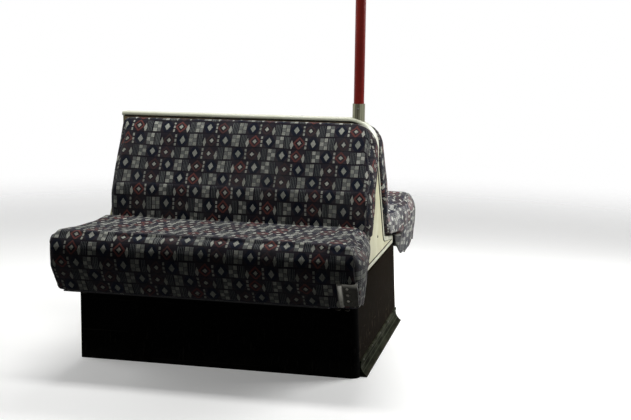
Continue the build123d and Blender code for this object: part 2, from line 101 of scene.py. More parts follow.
# Trim that the CAD nodes leave off, sized and placed on the CAD's own lines
CAPPING_LEG = 0.013
CAPPING_CORNER = 0.097
CAPPING_FOOT = 0.640
BOARD_FACE = 0.028
PANEL_RECESS = 0.004
SEAL = 0.0032
SEAL_LIFT = 0.0005
SEAL_STEPS = 12
CHEEK_SEAL = 0.0026
COVE_RIDGE = 0.013
WELD = 1e-5  # points nearer than this are one
LEVEL = 1e-4  # a face within this of a plane lies in it

# Fixings: radius of each head, and where it sits
HEAD_SIDES = 16
HEAD_RINGS = ((1.0, 0.0), (1.0, 0.30), (0.80, 0.52), (0.50, 0.62), (0.0, 0.22))  # reach, height
RECESS_RING = 0.50  # the ring that dips into a cross
RECESS = (0.45, 0.55)  # its least reach, and what is added along the arms
SCREW = 0.0046
CATCH_TILT = math.radians(32)
CATCH_PITCH = 0.024
HOLE_CLEAR = 0.006  # beside a screw hole, on the plate's face
CHEEK_SCREW = (0.058, 0.372)  # its Y and height on the cheek's panel
BUFFER = 0.008
BUFFERS = (-0.40, 0.403, 0.431)  # X places under each seat's front edge
BUFFER_INSET = 0.009  # from the front edge of the pan's flange
COVE_SCREW = 0.0032
COVE_SCREWS = 5
COVE_INSET = 0.04  # of the first and the last, from the ends of the cap strip
COVE_SINK = 0.0004
SOCKET_SCREW = 0.0034
SOCKET_DROP = 0.016  # below the socket's top
SOCKET_SINK = 0.0003
FLANGE_SCREW = 0.0055
FLANGE_SCREWS = 3
FLANGE_CIRCLE = 0.033
FLANGE_DISC = 0.008

# Light and floor
WORLD_LIGHT = 0.04
WORLD_TINT = (0.98, 0.99, 1.0)
LAMPS = (  # name, place, target, size, watts, spread in degrees
    ("overhead_front", (-0.05, -0.44, 2.25), (-0.05, -0.44, 0.0), (1.3, 0.36), 25.0, 180),
    ("overhead_rear", (-0.05, 0.80, 2.25), (-0.05, 0.80, 0.0), (1.3, 0.36), 18.0, 180),
    ("aisle", (1.9, 0.8, 1.7), (0.3, 0.0, 0.5), (1.2, 1.2), 46.0, 180),
    ("rear_end", (1.5, -0.75, 1.25), (0.46, 0.48, 0.36), (0.5, 0.5), 2.4, 34),
    ("wall", (-2.6, 0.0, 1.7), (-0.4, 0.0, 0.4), (1.6, 1.6), 26.0, 180),
)
FLOOR_TINT = (0.86, 0.86, 0.85)
FLOOR_ROUGH = 0.7
FLOOR_BOUNCE = 0.06  # share of its brightness that the floor throws back on the unit
FLOOR_GLOW = 0.28  # added where the camera sees the floor
FLOOR_HALF = 8.0
FLOOR_FADE = (1.6, 5.0)  # distances over which it turns clear
FLOOR_DROP = 0.0005

SIDES = (("front", -1), ("rear", 1))


# Materials


class Graph:
    """A material's node tree, with short calls for the nodes that it needs."""

    def __init__(self, name, roughness, **constants):
        self.material = bpy.data.materials.new(name)
        self.material.use_nodes = True
        self.tree = self.material.node_tree
        self.shader = self.tree.nodes["Principled BSDF"]
        self.shader.inputs["Roughness"].default_value = roughness
        for socket, value in constants.items():
            self.shader.inputs[socket.replace("_", " ")].default_value = value

    def join(self, value, socket):
        if isinstance(value, bpy.types.NodeSocket):
            self.tree.links.new(value, socket)
        else:
            socket.default_value = value

    def add(self, kind, *values, **settings):
        node = self.tree.nodes.new("ShaderNode" + kind)
        for key, value in settings.items():
            setattr(node, key, value)
        for value, socket in zip(values, node.inputs):
            if value is not None:
                self.join(value, socket)
        return node

    def math(self, operation, *values, clamp=False):
        return self.add("Math", *values, operation=operation, use_clamp=clamp).outputs[0]

    def scale(self, vector, factors):
        return self.add("VectorMath", vector, factors, operation="MULTIPLY").outputs[0]

    def split(self, vector):
        node = self.add("SeparateXYZ", vector)
        return node.outputs[0], node.outputs[1], node.outputs[2]

    def merge(self, x, y, z=0.0):
        return self.add("CombineXYZ", x, y, z).outputs[0]

    def place(self):
        """A point's place in the unit's own frame, in metres."""
        return self.tree.nodes.new("ShaderNodeTexCoord").outputs["Object"]

    def noise(self, vector, scale, detail=3.0, rough=0.55):
        node = self.add("TexNoise")
        self.join(vector, node.inputs["Vector"])
        node.inputs["Scale"].default_value = scale
        node.inputs["Detail"].default_value = detail
        node.inputs["Roughness"].default_value = rough
        return node.outputs["Fac"]

    def cells(self, vector, scale):
        node = self.add("TexVoronoi")
        self.join(vector, node.inputs["Vector"])
        node.inputs["Scale"].default_value = scale
        return node

    def random(self, vector):
        return self.add("TexWhiteNoise", vector, noise_dimensions="3D").outputs["Value"]

    def ramp(self, value, low, high, to_low=0.0, to_high=1.0):
        """Rises from to_low to to_high as value goes from low to high."""
        node = self.tree.nodes.new("ShaderNodeMapRange")
        node.interpolation_type = "SMOOTHSTEP"
        for item, socket in zip((value, low, high, to_low, to_high), node.inputs):
            self.join(item, socket)
        return node.outputs[0]

    def mix(self, amount, low, high):
        node = self.tree.nodes.new("ShaderNodeMix")
        node.data_type = "RGBA"
        self.join(amount, node.inputs["Factor"])
        self.join(with_alpha(low), node.inputs["A"])
        self.join(with_alpha(high), node.inputs["B"])
        return node.outputs["Result"]

    def within(self, value, low, high, soft=0.002):
        """1 where value lies between low and high."""
        return self.math(
            "MULTIPLY",
            self.ramp(value, low - soft, low + soft),
            self.ramp(value, high - soft, high + soft, 1.0, 0.0),
        )

    def bump(self, height, strength, distance):
        node = self.add("Bump")
        self.join(height, node.inputs["Height"])
        node.inputs["Strength"].default_value = strength
        node.inputs["Distance"].default_value = distance
        self.tree.links.new(node.outputs[0], self.shader.inputs["Normal"])

    def colour(self, value):
        self.join(with_alpha(value), self.shader.inputs["Base Color"])

    def rough(self, value):
        self.join(value, self.shader.inputs["Roughness"])


def with_alpha(value):
    """A plain (r, g, b) with its alpha; a socket stays as it is."""
    return (*value, 1.0) if isinstance(value, tuple) and len(value) == 3 else value


def cream(name, base, rough):
    """Cream paint or moulding: soft grime, runs, a rubbed corner painted near white as a highlight, faint
    orange peel.
    """
    g = Graph(name, rough, Specular_IOR_Level=0.3, Coat_Weight=0.05, Coat_Roughness=0.2)
    place = g.place()
    x, _, z = g.split(place)
    broad = g.noise(place, 4.0, 4.0)
    runs = g.noise(g.scale(place, (60.0, 60.0, 5.0)), 1.0, 2.0)
    specks = g.noise(place, 160.0, 2.0)
    grimy = tuple(c * k for c, k in zip(base, (0.86, 0.86, 0.78)))
    tint = g.mix(g.ramp(broad, 0.35, 0.7), base, grimy)
    tint = g.mix(g.ramp(runs, 0.55, 0.8, 0.0, 0.22), tint, (0.30, 0.27, 0.17))
    foot = g.math("MULTIPLY", g.ramp(z, 0.45, 0.28), g.ramp(broad, 0.3, 0.65))
    tint = g.mix(g.math("MULTIPLY", foot, 0.3), tint, (0.26, 0.22, 0.13))
    tint = g.mix(g.ramp(specks, 0.68, 0.74, 0.0, 0.5), tint, (0.16, 0.13, 0.08))
    # Painted highlight: the capping's top corner is painted near white by place, over rubbed wear broken up
    # by noise.
    corner = g.math("MULTIPLY", g.ramp(x, 0.36, 0.42), g.ramp(z, 0.66, 0.74))
    rubbed = g.math("MULTIPLY", corner, g.ramp(g.noise(place, 22.0, 4.0), 0.42, 0.6))
    g.colour(g.mix(g.math("MULTIPLY", rubbed, 0.55), tint, (0.80, 0.80, 0.74)))
    g.rough(g.ramp(g.noise(place, 12.0, 3.0), 0.3, 0.7, rough - 0.08, rough + 0.12))
    g.bump(g.math("ADD", g.noise(place, 420.0, 2.0), g.noise(place, 40.0, 3.0)), 0.06, 0.001)
    return g.material


def bright_steel(name, base, dull):
    """Satin stainless steel, drawn along Z, with fingermarks."""
    g = Graph(name, 0.3, Metallic=1.0)
    place = g.place()
    grain = g.noise(g.scale(place, (900.0, 900.0, 14.0)), 1.0, 2.0)
    smear = g.noise(place, 30.0, 4.0)
    g.colour(g.mix(g.ramp(smear, 0.35, 0.7), base, dull))
    g.rough(g.math("ADD", g.ramp(grain, 0.2, 0.8, 0.2, 0.34), g.ramp(smear, 0.4, 0.8, 0.0, 0.14)))
    g.bump(grain, 0.05, 0.0004)
    return g.material


def socket_steel(name, node):
    """Tarnished satin steel with drawn streaks, and a painted reflection: a dark band down the middle of
    the sleeve's front and back.
    """
    g = Graph(name, 0.34, Metallic=1.0)
    place = g.place()
    x = g.split(place)[0]
    low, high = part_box(node)
    away = g.math("ABSOLUTE", g.math("SUBTRACT", x, (low.x + high.x) / 2))
    streak = g.noise(g.scale(place, (260.0, 260.0, 6.0)), 1.0, 3.0)
    # Painted reflection: a dark strip down the middle of the sleeve, front and back, like the dark
    # reflection a round bright sleeve shows.
    dark_reflection_band = g.math("MULTIPLY", g.ramp(away, 0.0105, 0.0055), g.ramp(streak, 0.25, 0.6, 0.55, 1.0))
    tint = g.mix(g.ramp(streak, 0.35, 0.7), (0.205, 0.205, 0.146), (0.102, 0.102, 0.067))
    g.colour(g.mix(dark_reflection_band, tint, (0.045, 0.043, 0.028)))
    g.rough(g.ramp(streak, 0.3, 0.7, 0.28, 0.42))
    g.bump(streak, 0.08, 0.0004)
    return g.material


def catch_steel(name, node):
    """Steel painted near black as painted shade, with painted highlights along its rolled edge and at the
    top, broken up by smears.
    """
    g = Graph(name, 0.35, Metallic=1.0)
    place = g.place()
    x, _, z = g.split(place)
    low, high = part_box(node)
    # Painted highlight: the rolled edge and a strip at the top are painted bright by place, fading down the
    # plate.
    roll = g.ramp(x, low.x + 0.020, low.x + 0.012)
    top = g.ramp(z, high.z - 0.022, high.z - 0.004)
    smear = g.noise(place, 55.0, 4.0)
    rolled_edge_highlight = g.math("MULTIPLY", roll, g.ramp(z, low.z, high.z, 0.25, 1.0))
    rub = g.math("MAXIMUM", rolled_edge_highlight, g.math("MULTIPLY", top, 0.5))
    rub = g.math("MULTIPLY", rub, g.ramp(smear, 0.25, 0.6, 0.35, 1.0))
    # Painted shade: the plate's steel is given a near-black tint.
    tint = g.mix(g.ramp(smear, 0.35, 0.7), (0.0140, 0.0135, 0.0115), (0.0070, 0.0068, 0.0060))
    g.colour(g.mix(rub, tint, (0.24, 0.235, 0.21)))
    g.rough(g.ramp(smear, 0.3, 0.7, 0.26, 0.46))
    g.bump(g.noise(place, 260.0, 3.0), 0.08, 0.0005)
    return g.material


def red_enamel(name):
    """Deep red enamel on the pole, dulled by hands and chipped in places."""
    g = Graph(name, 0.34, Specular_IOR_Level=0.10, Coat_Weight=0.03, Coat_Roughness=0.15)
    place = g.place()
    z = g.split(place)[2]
    held = g.math("MULTIPLY", g.ramp(z, 0.95, 1.2), g.ramp(z, 1.75, 1.5))
    blotch = g.noise(place, 9.0, 4.0)
    tint = g.mix(g.ramp(blotch, 0.35, 0.7), (0.165, 0.0070, 0.0030), (0.120, 0.0045, 0.0020))
    tint = g.mix(g.math("MULTIPLY", held, 0.2), tint, (0.20, 0.020, 0.010))
    chips = g.cells(place, 60.0).outputs["Distance"]
    chipped = g.math("MULTIPLY", g.ramp(chips, 0.07, 0.05), g.ramp(g.noise(place, 16.0), 0.6, 0.63))
    g.colour(g.mix(chipped, tint, (0.05, 0.03, 0.025)))
    g.rough(g.ramp(blotch, 0.3, 0.75, 0.26, 0.44))
    pits = g.math("MULTIPLY", chipped, 2.0)
    g.bump(g.math("SUBTRACT", g.noise(place, 240.0, 2.0), pits), 0.08, 0.0006)
    return g.material


def laminate(name, base, scuff, rough):
    """Hard laminate: faint mottle, boot scuffs and dust that thicken towards the floor."""
    g = Graph(name, rough, Specular_IOR_Level=0.002)
    place = g.place()
    x, y, z = g.split(place)
    low = g.ramp(z, 0.24, 0.02)
    mottle = g.noise(place, 70.0, 3.0)
    tint = g.mix(g.ramp(mottle, 0.3, 0.75), base, tuple(c * 1.5 for c in base))
    bent = g.math("MULTIPLY", g.noise(place, 7.0, 2.0), 0.5)
    along = g.math("ADD", g.math("MULTIPLY", y, 26.0), bent)
    marks = g.noise(g.merge(along, g.math("MULTIPLY", x, 26.0), g.math("MULTIPLY", z, 5.0)), 4.0, 4.0)
    streak = g.math("MULTIPLY", g.ramp(marks, 0.60, 0.68), low)
    tint = g.mix(g.math("MULTIPLY", streak, 0.7), tint, scuff)
    kicks = g.noise(g.merge(g.math("MULTIPLY", y, 9.0), x, g.math("MULTIPLY", z, 60.0)), 1.6, 3.0)
    kicked = g.math("MULTIPLY", g.ramp(kicks, 0.66, 0.72), g.ramp(z, 0.26, 0.10))
    tint = g.mix(g.math("MULTIPLY", kicked, 0.55), tint, scuff)
    dust = g.math("MULTIPLY", g.ramp(z, 0.07, 0.0), g.ramp(g.noise(place, 24.0, 4.0), 0.3, 0.7))
    g.colour(g.mix(g.math("MULTIPLY", dust, 0.5), tint, scuff))
    worn = g.math("ADD", g.math("MULTIPLY", streak, 0.2), g.math("MULTIPLY", kicked, 0.15))
    g.rough(g.math("ADD", worn, g.ramp(mottle, 0.2, 0.8, rough - 0.06, rough + 0.08)))
    g.bump(g.math("SUBTRACT", g.noise(place, 500.0, 2.0), streak), 0.12, 0.0005)
    return g.material


def coving(name):
    """Grey-green floor coving: trodden dirt, and pale ridges that are partly rubbed wear and partly a
    painted highlight.
    """
    g = Graph(name, 0.6, Specular_IOR_Level=0.004)
    place = g.place()
    z = g.split(place)[2]
    grime = g.noise(g.scale(place, (14.0, 9.0, 40.0)), 1.0, 5.0)
    tint = g.mix(g.ramp(grime, 0.35, 0.68), (0.019, 0.021, 0.012), (0.007, 0.0075, 0.005))
    ridge = g.ramp(g.math("SINE", g.math("MULTIPLY", z, 2 * math.pi / COVE_RIDGE)), 0.55, 0.95)
    # Painted highlight and wear: the crests of the ridges are painted paler.
    tint = g.mix(g.math("MULTIPLY", ridge, 0.7), tint, (0.040, 0.044, 0.030))
    rubbed = g.math("MULTIPLY", g.ramp(z, 0.035, 0.05), g.ramp(g.noise(place, 18.0, 4.0), 0.4, 0.62))
    tint = g.mix(g.math("MULTIPLY", rubbed, 0.7), tint, (0.055, 0.060, 0.038))
    toe = g.math("MULTIPLY", g.ramp(z, 0.012, 0.002), g.ramp(grime, 0.3, 0.6, 1.0, 0.3))
    g.colour(g.mix(g.math("MULTIPLY", toe, 0.6), tint, (0.028, 0.018, 0.014)))
    g.rough(g.ramp(grime, 0.3, 0.7, 0.45, 0.75))
    g.bump(g.math("ADD", g.noise(place, 300.0, 4.0), g.math("MULTIPLY", ridge, 3.0)), 0.2, 0.0008)
    return g.material


def plywood(name):
    """Birch plywood: long grain along X under a broader darker figure."""
    g = Graph(name, 0.55)
    place = g.place()
    grain = g.noise(g.scale(place, (3.0, 90.0, 90.0)), 1.0, 5.0)
    figure = g.noise(g.scale(place, (1.5, 12.0, 12.0)), 1.0, 3.0)
    tint = g.mix(g.ramp(grain, 0.3, 0.7), (0.46, 0.32, 0.19), (0.33, 0.21, 0.11))
    g.colour(g.mix(g.ramp(figure, 0.4, 0.75, 0.0, 0.45), tint, (0.24, 0.14, 0.07)))
    g.rough(g.ramp(grain, 0.2, 0.8, 0.45, 0.65))
    g.bump(grain, 0.15, 0.0006)
    return g.material


def zinc(name):
    """Dull zinc-coated steel with its spangle and dust."""
    g = Graph(name, 0.45, Metallic=0.85)
    place = g.place()
    spangle = g.split(g.cells(place, 55.0).outputs["Color"])[0]
    dust = g.noise(place, 6.0, 5.0)
    tint = g.mix(spangle, (0.30, 0.31, 0.31), (0.42, 0.43, 0.43))
    g.colour(g.mix(g.ramp(dust, 0.4, 0.75, 0.0, 0.6), tint, (0.16, 0.14, 0.12)))
    g.rough(g.ramp(dust, 0.3, 0.8, 0.38, 0.7))
    g.bump(g.noise(place, 180.0, 3.0), 0.06, 0.0005)
    return g.material


def black_paint(name):
    """Thin black paint on folded steel, rubbed grey in scattered patches."""
    g = Graph(name, 0.5, Specular_IOR_Level=0.1)
    place = g.place()
    rub = g.noise(place, 28.0, 5.0)
    g.colour(g.mix(g.ramp(rub, 0.62, 0.72), (0.006, 0.006, 0.0065), (0.05, 0.048, 0.045)))
    g.rough(g.ramp(rub, 0.3, 0.8, 0.34, 0.6))
    g.bump(g.noise(place, 350.0, 2.0), 0.1, 0.0005)
    return g.material


def moquette(name):
    """Cut-pile cloth in drifting rows: bars, squares, lozenges and pinstripes on muted plum."""
    g = Graph(name, 0.85, Specular_IOR_Level=0.03, Sheen_Weight=0.03, Sheen_Roughness=0.4)
    cloth = g.add("Attribute", attribute_name="cloth").outputs["Vector"]
    u, v, rubbing = g.split(cloth)
    pull = g.math("MULTIPLY", g.math("SUBTRACT", g.noise(cloth, 9.0, 2.0), 0.5), 0.008)
    thread_u = g.math("SNAP", g.math("ADD", u, pull), YARN)
    thread_v = g.math("SNAP", g.math("ADD", v, pull), YARN)
    high = g.math("DIVIDE", thread_v, ROW)
    row = g.math("FLOOR", high)
    y = g.math("FRACT", high)
    across = g.math("ADD", g.math("DIVIDE", thread_u, REPEAT), g.math("MULTIPLY", row, ROW_SHIFT))
    x = g.math("FRACT", across)
    turned = g.math("GREATER_THAN", g.math("FRACT", g.math("MULTIPLY", row, 0.5)), 0.25)
    x = g.math("ABSOLUTE", g.math("SUBTRACT", turned, x))
    chance = g.random(g.merge(g.math("FLOOR", across), row, 3.0))
    other = g.random(g.merge(g.math("FLOOR", across), row, 8.0))
    stripe = g.math("GREATER_THAN", g.math("FRACT", g.math("DIVIDE", thread_u, 4 * YARN)), 0.5)

    def patch(x_low, x_high, y_low, y_high):
        return g.math("MULTIPLY", g.within(x, x_low, x_high), g.within(y, y_low, y_high, 0.01))

    def away(value, centre, reach):
        return g.math("DIVIDE", g.math("ABSOLUTE", g.math("SUBTRACT", value, centre)), reach)

    def lozenge(centre_x, centre_y, half_x, half_y):
        """Grows from 0 at the middle to 1 at the lozenge's edge."""
        return g.math("ADD", away(x, centre_x, half_x), away(y, centre_y, half_y))

    grey = g.mix(other, (0.27, 0.28, 0.24), (0.46, 0.47, 0.41))
    streaked = g.mix(g.math("MULTIPLY", stripe, 0.3), grey, (0.10, 0.10, 0.10))
    dim = g.mix(chance, (0.110, 0.118, 0.112), (0.190, 0.198, 0.185))
    tint = g.mix(chance, (0.036, 0.029, 0.036), (0.019, 0.016, 0.021))
    tint = g.mix(g.ramp(y, 0.5, 0.95, 0.0, 0.5), tint, (0.018, 0.017, 0.024))
    tint = g.mix(patch(0.00, 0.135, 0.0, 0.94), tint, g.mix(stripe, (0.014, 0.016, 0.022), dim))
    for column, (x_low, x_high) in enumerate(CHEQUER):
        for step in range(3):
            cloth_tint = streaked if (column + step) % 2 == 0 else dim
            tint = g.mix(patch(x_low, x_high, 0.08 + 0.29 * step, 0.35 + 0.29 * step), tint, cloth_tint)
    navy = lozenge(0.480, 0.50, 0.150, 0.72)
    tint = g.mix(g.math("LESS_THAN", navy, 1.0), tint, (0.009, 0.012, 0.022))
    tint = g.mix(g.math("LESS_THAN", navy, 0.42), tint, streaked)
    for y_low in (0.08, 0.38, 0.68):
        tint = g.mix(patch(0.628, 0.668, y_low, y_low + 0.20), tint, streaked)
    edge = lozenge(0.800, 0.48, 0.140, 0.50)
    ring = g.math("MULTIPLY", g.math("LESS_THAN", edge, 1.0), g.math("GREATER_THAN", edge, 0.68))
    red = g.mix(g.ramp(other, 0.2, 0.9), (0.046, 0.030, 0.030), (0.165, 0.052, 0.043))
    tint = g.mix(ring, tint, red)
    tint = g.mix(g.math("LESS_THAN", edge, 0.34), tint, (0.40, 0.41, 0.35))
    tint = g.mix(g.math("LESS_THAN", lozenge(0.965, 0.34, 0.040, 0.36), 1.0), tint, grey)
    tint = g.mix(g.within(y, 0.0, 0.055, 0.01), tint, (0.011, 0.010, 0.013))
    fleck = g.random(g.merge(g.math("SNAP", u, YARN), g.math("SNAP", v, YARN), rubbing))
    tint = g.mix(g.ramp(fleck, 0.0, 1.0, 0.0, 0.42), tint, (0.010, 0.009, 0.010))
    worn = g.noise(g.place(), 11.0, 4.0)
    tint = g.mix(g.ramp(worn, 0.42, 0.75, 0.0, 0.10), tint, (0.17, 0.165, 0.16))
    rubbed = g.noise(g.scale(cloth, (7.0, 60.0, 0.0)), 1.0, 3.0)
    bare = g.math("MULTIPLY", rubbing, g.ramp(rubbed, 0.35, 0.7, 0.05, 0.45))
    g.colour(g.mix(bare, tint, (0.24, 0.235, 0.23)))
    g.rough(g.ramp(worn, 0.3, 0.8, 0.78, 0.95))
    rib_u = g.math("SINE", g.math("MULTIPLY", u, 2 * math.pi / YARN))
    rib_v = g.math("SINE", g.math("MULTIPLY", v, 2 * math.pi / YARN))
    tufts = g.math("MULTIPLY", g.noise(cloth, 700.0, 3.0), 2.0)
    g.bump(g.math("ADD", g.math("MULTIPLY", rib_u, rib_v), tufts), 0.35, 0.0008)
    return g.material


def cord_cloth(name, base):
    """Plain woven cloth on piping."""
    g = Graph(name, 0.9, Sheen_Weight=0.2, Sheen_Roughness=0.5)
    place = g.place()
    weave = g.noise(place, 900.0, 2.0)
    g.colour(g.mix(g.ramp(weave, 0.35, 0.65), base, tuple(c * 2.2 for c in base)))
    g.bump(weave, 0.4, 0.0006)
    return g.material


def sealant(name):
    """Dark rubbery sealant with dust caught in it."""
    g = Graph(name, 0.7, Specular_IOR_Level=0.05)
    place = g.place()
    dust = g.noise(place, 45.0, 4.0)
    g.colour(g.mix(g.ramp(dust, 0.4, 0.75), (0.016, 0.015, 0.012), (0.060, 0.054, 0.038)))
    g.rough(g.ramp(dust, 0.3, 0.8, 0.55, 0.85))
    g.bump(g.noise(place, 260.0, 3.0), 0.25, 0.0008)
    return g.material


MATERIALS = {
    "cream_moulding": cream("cream_moulding", (0.48, 0.49, 0.40), 0.34),
    "cream_panel": cream("cream_panel", (0.44, 0.43, 0.28), 0.42),
    "bright_steel": bright_steel("bright_steel", (0.30, 0.295, 0.25), (0.17, 0.165, 0.135)),
    "red_paint": red_enamel("red_paint"),
    "black_laminate": laminate("black_laminate", (0.0040, 0.0040, 0.0040), (0.030, 0.028, 0.024), 0.6),
    "brown_laminate": laminate("brown_laminate", (0.0046, 0.0033, 0.0020), (0.070, 0.060, 0.042), 0.65),
    "grey_coving": coving("grey_coving"),
    "plywood": plywood("plywood"),
    "frame_steel": zinc("frame_steel"),
    "pan_paint": black_paint("pan_paint"),
    "moquette": moquette("moquette"),
}
PIPING_CLOTH = cord_cloth("piping_cloth", (0.012, 0.011, 0.013))
SEALANT = sealant("sealant")
DARK_STEEL = bright_steel("dark_steel", (0.13, 0.125, 0.11), (0.055, 0.052, 0.045))
CATCH_STEEL = catch_steel("catch_steel", "front_catch_plate")
SOCKET_STEEL = socket_steel("socket_steel", "pole_socket")
OWN_STEEL = {"front_catch_plate": CATCH_STEEL, "rear_catch_plate": CATCH_STEEL, "pole_socket": SOCKET_STEEL}


def finish_nodes():
    """Gives each CAD node the material of its slot, or its own kind of steel."""
    slots = {p["node"]: p["material_slot"] for p in frame["record"]["subparts"]}
    for name, node in frame["nodes"].items():
        node.data.materials.clear()
        node.data.materials.append(OWN_STEEL.get(name, MATERIALS[slots[name]]))


# Meshes


def new_piece(name, mesh, material):
    piece = bpy.data.objects.new(name, mesh)
    bpy.context.scene.collection.objects.link(piece)
    mesh.materials.clear()
    mesh.materials.append(material)
    return piece


def smooth(mesh):
    mesh.polygons.foreach_set("use_smooth", [True] * len(mesh.polygons))


def points_of(mesh):
    flat = np.zeros(len(mesh.vertices) * 3, np.float32)
    mesh.vertices.foreach_get("co", flat)
    return flat.reshape(-1, 3).astype(float)


def normals_of(mesh):
    flat = np.zeros(len(mesh.vertices) * 3, np.float32)
    mesh.vertices.foreach_get("normal", flat)
    return flat.reshape(-1, 3).astype(float)


def put_points(mesh, points):
    mesh.vertices.foreach_set("co", points.astype(np.float32).ravel())
    mesh.update()


def apply_modifiers(piece):
    """Replaces a piece's mesh by what its modifiers make of it."""
    graph = bpy.context.evaluated_depsgraph_get()
    made = bpy.data.meshes.new_from_object(piece.evaluated_get(graph))
    piece.modifiers.clear()
    piece.data = made


def tube(name, points, radius, material, closed=False):
    """A round cord along a list of points."""
    curve = bpy.data.curves.new(name, "CURVE")
    curve.dimensions = "3D"
    curve.bevel_depth = radius
    curve.bevel_resolution = 2
    spline = curve.splines.new("POLY")
    spline.points.add(len(points) - 1)
    for item, point in zip(spline.points, points):
        item.co = (*point, 1.0)
    spline.use_cyclic_u = closed
    piece = bpy.data.objects.new(name, curve)
    bpy.context.scene.collection.objects.link(piece)
    curve.materials.append(material)
    return piece


# Cushions


def pad_blank(name, node):
    """A fine even mesh in the shape of a CAD cushion, drawn in a little."""
    source = frame["nodes"][node]
    piece = new_piece(name, source.data.copy(), MATERIALS["moquette"])
    remesh = piece.modifiers.new("even", "REMESH")
    remesh.mode = "VOXEL"
    remesh.voxel_size = VOXEL
    apply_modifiers(piece)
    put_points(piece.data, points_of(piece.data) - PAD_SHRINK * normals_of(piece.data))
    return piece


def inflate(piece, free):
    """Blows a pad up as cloth under pressure; free says how far out each point may move."""
    start = points_of(piece.data)
    cloth = piece.modifiers.new("cloth", "CLOTH")
    settings = cloth.settings
    settings.quality = 4
    settings.mass = 0.3
    settings.tension_stiffness = 12.0
    settings.compression_stiffness = 12.0
    settings.shear_stiffness = 6.0
    settings.bending_stiffness = 0.6
    settings.use_pressure = True
    settings.uniform_pressure_force = PAD_PRESSURE
    settings.effector_weights.gravity = 0.0
    cloth.collision_settings.use_collision = False
    for step in range(1, PAD_FRAMES + 1):
        bpy.context.scene.frame_set(step)
    graph = bpy.context.evaluated_depsgraph_get()
    made = bpy.data.meshes.new_from_object(piece.evaluated_get(graph))
    moved = points_of(made) - start
    bpy.data.meshes.remove(made)
    piece.modifiers.clear()
    bpy.context.scene.frame_set(1)
    outward = normals_of(piece.data)
    rise = np.clip(np.sum(moved * outward, axis=1), -PAD_GIVE, free)
    put_points(piece.data, start + rise[:, None] * outward)


def subdivide(piece):
    even = piece.modifiers.new("fine", "SUBSURF")
    even.levels = 1
    even.render_levels = 1
    apply_modifiers(piece)
    smooth(piece.data)


def surface(mesh):
    return BVHTree.FromPolygons([v.co[:] for v in mesh.vertices], [p.vertices[:] for p in mesh.polygons])


def angle_of(points, middle, side):
    """How far round its section a point lies: 0 at the face, a quarter turn at the top."""
    return np.arctan2(points[:, 2] - middle[1], side * points[:, 1] - middle[0])


def round_section(points, middle, side):
    """Arc length against angle, round the slice of a pad at the middle of its length."""
    near = points[np.abs(points[:, 0]) < SLICE]
    angle = angle_of(near, middle, side)
    slot = np.digitize(angle, np.linspace(-math.pi, math.pi, SECTION_STEPS + 1))
    filled = [k for k in range(1, SECTION_STEPS + 1) if (slot == k).any()]
    turn = np.array([angle[slot == k].mean() for k in filled])
    path = np.array([near[slot == k][:, 1:].mean(0) for k in filled])
    steps = np.linalg.norm(np.diff(path, axis=0), axis=1)
    return turn, np.concatenate([[0.0], np.cumsum(steps)])


def on_flap(points, side):
    """Which points lie on the seat's flap beside the cheek's horn."""
    return (points[:, 0] > FLAP[0]) & (side * points[:, 1] < FLAP[1]) & (points[:, 2] < FLAP[2])


def soften(piece, chosen, rounds):
    """Rounds the chosen part of a pad, as cloth folded over foam."""
    bm = bmesh.new()
    bm.from_mesh(piece.data)
    verts = [v for v, inside in zip(bm.verts, chosen) if inside]
    every_way = {"use_axis_x": True, "use_axis_y": True, "use_axis_z": True}
    for _ in range(rounds):
        bmesh.ops.smooth_vert(bm, verts=verts, factor=SMOOTHING, **every_way)
    bm.to_mesh(piece.data)
    bm.free()


def lay_cloth(piece, middle, side, hangs):
    """Stores where each corner of the pad lies on its cloth: metres along, across, and how rubbed.

    Where the cloth hangs, its rows turn down over the pad's ends; elsewhere they run level there.
    """
    mesh = piece.data
    points = points_of(mesh)
    turn, length = round_section(points, middle, side)
    around = np.interp(angle_of(points, middle, side), turn, length)
    corner = np.zeros(len(mesh.loops), np.int32)
    mesh.loops.foreach_get("vertex_index", corner)
    normals = np.zeros(len(mesh.polygons) * 3, np.float32)
    mesh.polygons.foreach_get("normal", normals)
    counts = np.zeros(len(mesh.polygons), np.int32)
    mesh.polygons.foreach_get("loop_total", counts)
    away = np.abs(normals.reshape(-1, 3))
    ends = away[:, 0] + (0.0 if hangs else END_TOP) * away[:, 2] > END_LEAN
    if hangs:
        middles = np.zeros(len(mesh.polygons) * 3, np.float32)
        mesh.polygons.foreach_get("center", middles)
        ends |= on_flap(middles.reshape(-1, 3), side)
    ends = np.repeat(ends, counts)
    at = points[corner]
    cloth = np.zeros((len(corner), 3))
    end_u, end_v = END_START - side * at[:, 1], at[:, 2]
    if hangs:
        end_u, end_v = END_START - at[:, 2], FLAP_START - at[:, 0] - side * at[:, 1]
    cloth[:, 0] = np.where(ends, end_u, at[:, 0])
    cloth[:, 1] = np.where(ends, end_v, around[corner])
    cloth[:, 2] = ends * (HANGING_RUB if hangs else LEVEL_RUB)
    data = mesh.attributes.new("cloth", "FLOAT_VECTOR", "CORNER")
    data.data.foreach_set("vector", cloth.astype(np.float32).ravel())


def mirrored(piece, name):
    """The same pad for the other side of the backrest."""
    mesh = piece.data.copy()
    mesh.transform(Matrix.Scale(-1.0, 4, (0.0, 1.0, 0.0)))
    mesh.flip_normals()
    return new_piece(name, mesh, MATERIALS["moquette"])


